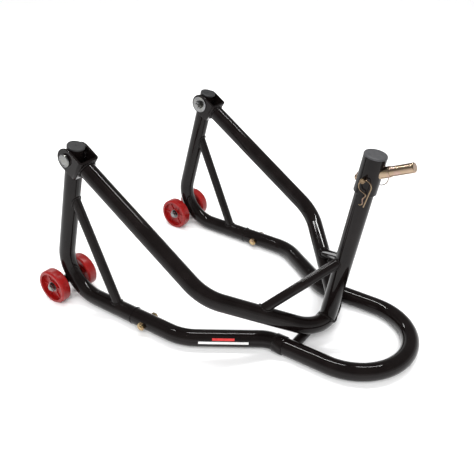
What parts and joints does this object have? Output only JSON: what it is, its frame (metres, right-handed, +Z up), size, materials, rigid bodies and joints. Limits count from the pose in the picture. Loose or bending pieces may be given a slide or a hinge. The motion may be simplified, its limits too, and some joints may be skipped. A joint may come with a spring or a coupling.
{
  "type": "paddock stand",
  "caption": "Front paddock stand: a wheeled bent-tube base with a handle loop and a hinged tube yoke whose post holds a stepped headstock pin.",
  "frame": {"origin": "on the floor, in the middle of the stand's outline seen from above", "axes": "+X from the wheels to the handle loop, +Y across the stand, +Z up"},
  "size_m": [0.836, 0.569, 0.4463],
  "materials": {
    "frame_paint": "gloss black powder coat",
    "wheel_plastic": "moulded red plastic with a satin gloss",
    "cap_plastic": "matte dark grey plastic",
    "head_cap_plastic": "matte grey plastic",
    "bush_steel": "turned steel",
    "yellow_zinc": "yellow zinc plated steel",
    "bright_zinc": "bright zinc plated steel"
  },
  "bodies": {
    "base_frame": {"left_upright_tube": "frame_paint", "left_side_arm": "frame_paint", "left_joint_spigot": "frame_paint", "left_loop_collar": "frame_paint", "left_upright_strut": "frame_paint", "left_axle_boss": "frame_paint", "left_upright_cap": "cap_plastic", "left_pivot_bush": "bush_steel", "right_upright_tube": "frame_paint", "right_side_arm": "frame_paint", "right_joint_spigot": "frame_paint", "right_loop_collar": "frame_paint", "right_upright_strut": "frame_paint", "right_axle_boss": "frame_paint", "right_upright_cap": "cap_plastic", "right_pivot_bush": "bush_steel", "handle_loop": "frame_paint", "cross_bar": "frame_paint", "axle_studs": "bright_zinc", "axle_spacers": "bright_zinc", "axle_washers": "bright_zinc", "axle_nuts": "bright_zinc", "joint_bolts": "yellow_zinc", "joint_nuts": "yellow_zinc"},
    "lift_frame": {"left_clevis_bracket": "frame_paint", "left_post_brace": "frame_paint", "right_clevis_bracket": "frame_paint", "right_post_brace": "frame_paint", "lift_yoke": "frame_paint", "post": "frame_paint", "head_sleeve": "frame_paint", "head_cap": "head_cap_plastic", "headstock_pin": "yellow_zinc", "pivot_bolts": "bright_zinc", "pivot_washers": "bright_zinc", "pivot_nuts": "bright_zinc"},
    "left_inner_wheel": {"left_inner_wheel": "wheel_plastic", "left_inner_wheel_bush": "bush_steel"},
    "left_outer_wheel": {"left_outer_wheel": "wheel_plastic", "left_outer_wheel_bush": "bush_steel"},
    "right_inner_wheel": {"right_inner_wheel": "wheel_plastic", "right_inner_wheel_bush": "bush_steel"},
    "right_outer_wheel": {"right_outer_wheel": "wheel_plastic", "right_outer_wheel_bush": "bush_steel"},
    "cross_pin": {"cross_pin": "yellow_zinc"},
    "r_clip": {"r_clip": "yellow_zinc"},
    "pull_ring": {"pull_ring": "yellow_zinc"}
  },
  "joints": [
    {"name": "lift_hinge", "type": "hinge", "parent": "base_frame", "child": "lift_frame", "pos_m": [-0.28991, 0, 0.37925], "axis": [0, -1, 0], "range_deg": [0, 105]},
    {"name": "left_inner_wheel_spin", "type": "hinge", "parent": "base_frame", "child": "left_inner_wheel", "pos_m": [-0.376, -0.184, 0.042], "axis": [0, 1, 0], "continuous": true},
    {"name": "left_outer_wheel_spin", "type": "hinge", "parent": "base_frame", "child": "left_outer_wheel", "pos_m": [-0.376, -0.268, 0.042], "axis": [0, 1, 0], "continuous": true},
    {"name": "right_inner_wheel_spin", "type": "hinge", "parent": "base_frame", "child": "right_inner_wheel", "pos_m": [-0.376, 0.184, 0.042], "axis": [0, 1, 0], "continuous": true},
    {"name": "right_outer_wheel_spin", "type": "hinge", "parent": "base_frame", "child": "right_outer_wheel", "pos_m": [-0.376, 0.268, 0.042], "axis": [0, 1, 0], "continuous": true},
    {"name": "cross_pin_turn", "type": "hinge", "parent": "lift_frame", "child": "cross_pin", "pos_m": [0.26993, 0, 0.39859], "axis": [0, 1, 0], "continuous": true},
    {"name": "r_clip_swing", "type": "hinge", "parent": "cross_pin", "child": "r_clip", "pos_m": [0.2742, -0.0285, 0.38684], "axis": [0, 1, 0], "range_deg": [-60, 60]},
    {"name": "pull_ring_swing", "type": "hinge", "parent": "cross_pin", "child": "pull_ring", "pos_m": [0.26993, 0.027, 0.39859], "axis": [0.7071, 0, 0.7071], "range_deg": [-3, 100]}
  ]
}
